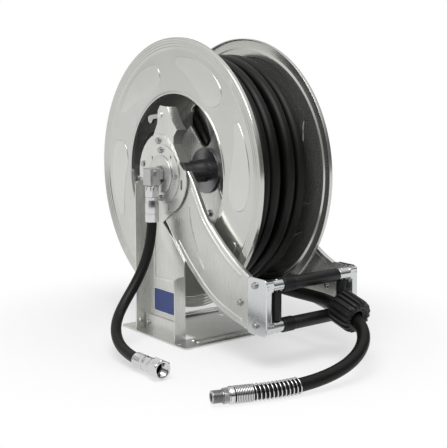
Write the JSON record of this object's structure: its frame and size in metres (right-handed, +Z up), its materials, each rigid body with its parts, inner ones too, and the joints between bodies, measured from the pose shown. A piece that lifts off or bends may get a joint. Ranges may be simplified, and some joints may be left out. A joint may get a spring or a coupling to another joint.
{
  "type": "hose reel",
  "caption": "Spring-rewind hose reel on a pedestal: open disc-sided drum with wound rubber hose, two curved guide arms, roller window, hose stopper and swivel inlet.",
  "frame": {"origin": "on the underside of the base plate, under the middle of the drum: X=0 is the drum's mid-plane, Y=0 the drum's axis and Z=0 the floor", "axes": "+X along the drum's axis, away from the pedestal; -Y the front, where the hose leaves through the guide; +Z up"},
  "size_m": [0.4184, 0.7159, 0.587],
  "materials": {
    "stainless_sheet": "satin stainless sheet",
    "cast_alloy": "cast alloy, lightly rough",
    "plated_steel": "bright plated steel",
    "dark_steel": "dark machined steel",
    "hose_rubber": "black hose cover",
    "black_nylon": "black nylon"
  },
  "bodies": {
    "frame": {"base_plate": "stainless_sheet", "pedestal": "stainless_sheet", "near_arm": "stainless_sheet", "far_arm": "stainless_sheet", "head_plate": "stainless_sheet", "ring_plate": "stainless_sheet", "bearing_boss": "stainless_sheet", "bolt_ring_1": "plated_steel", "bolt_ring_2": "plated_steel", "bolt_ring_3": "plated_steel", "bolt_ring_4": "plated_steel", "bolt_head_1": "plated_steel", "bolt_head_2": "plated_steel", "bolt_foot_1": "plated_steel", "bolt_foot_2": "plated_steel", "main_shaft": "dark_steel", "shaft_nut": "plated_steel", "pawl_pin": "plated_steel", "pawl_spring": "plated_steel", "near_bracket": "cast_alloy", "far_bracket": "cast_alloy", "pin_lower": "plated_steel", "pin_upper": "plated_steel", "pin_near": "plated_steel", "pin_far": "plated_steel", "bolt_guide_near_1": "plated_steel", "bolt_guide_near_2": "plated_steel", "bolt_guide_far_1": "plated_steel", "bolt_guide_far_2": "plated_steel", "bolt_arm_near": "plated_steel", "bolt_arm_far": "plated_steel", "stopper_upper": "black_nylon", "stopper_lower": "black_nylon", "hose_lead": "hose_rubber", "hose_tail": "hose_rubber", "spring_guard": "plated_steel", "outlet_ferrule": "plated_steel", "outlet_nipple": "plated_steel", "elbow_body": "plated_steel", "elbow_nut": "plated_steel", "inlet_ferrule": "plated_steel", "inlet_hose": "hose_rubber", "inlet_tail": "plated_steel"},
    "drum": {"near_disc": "stainless_sheet", "far_disc": "stainless_sheet", "drum_core": "stainless_sheet", "hub_tube": "dark_steel", "drum_spider": "stainless_sheet", "spring_case": "stainless_sheet", "ratchet_sector": "stainless_sheet", "hose_core": "hose_rubber", "hose_winding": "hose_rubber", "inner_hose": "hose_rubber", "inner_elbow": "dark_steel"},
    "pawl": {"pawl": "plated_steel"},
    "inlet_nut": {"inlet_nut": "plated_steel"},
    "roller_lower": {"roller_lower": "black_nylon"},
    "roller_upper": {"roller_upper": "black_nylon"},
    "roller_near": {"roller_near": "black_nylon"},
    "roller_far": {"roller_far": "black_nylon"}
  },
  "joints": [
    {"name": "drum_spin", "type": "hinge", "parent": "frame", "child": "drum", "pos_m": [0, 0, 0.322], "axis": [1, 0, 0], "continuous": true, "deforming": ["hose_lead"]},
    {"name": "pawl_swing", "type": "hinge", "parent": "frame", "child": "pawl", "pos_m": [-0.085, 0.009, 0.437], "axis": [1, 0, 0], "range_deg": [-22.5, 0], "stiffness_Nm_per_rad": 0.4, "springref_deg": 5.73},
    {"name": "roller_lower_spin", "type": "hinge", "parent": "frame", "child": "roller_lower", "pos_m": [-0.002, -0.3, 0.0763], "axis": [1, 0, 0], "continuous": true},
    {"name": "roller_upper_spin", "type": "hinge", "parent": "frame", "child": "roller_upper", "pos_m": [-0.002, -0.3, 0.1493], "axis": [1, 0, 0], "continuous": true},
    {"name": "roller_near_spin", "type": "hinge", "parent": "frame", "child": "roller_near", "pos_m": [-0.0815, -0.3, 0.1128], "axis": [0, 0, 1], "continuous": true},
    {"name": "roller_far_spin", "type": "hinge", "parent": "frame", "child": "roller_far", "pos_m": [0.078, -0.3, 0.1128], "axis": [0, 0, 1], "continuous": true},
    {"name": "inlet_nut_spin", "type": "hinge", "parent": "frame", "child": "inlet_nut", "pos_m": [-0.279, -0.213, 0.0188], "axis": [0, -1, 0], "continuous": true}
  ]
}
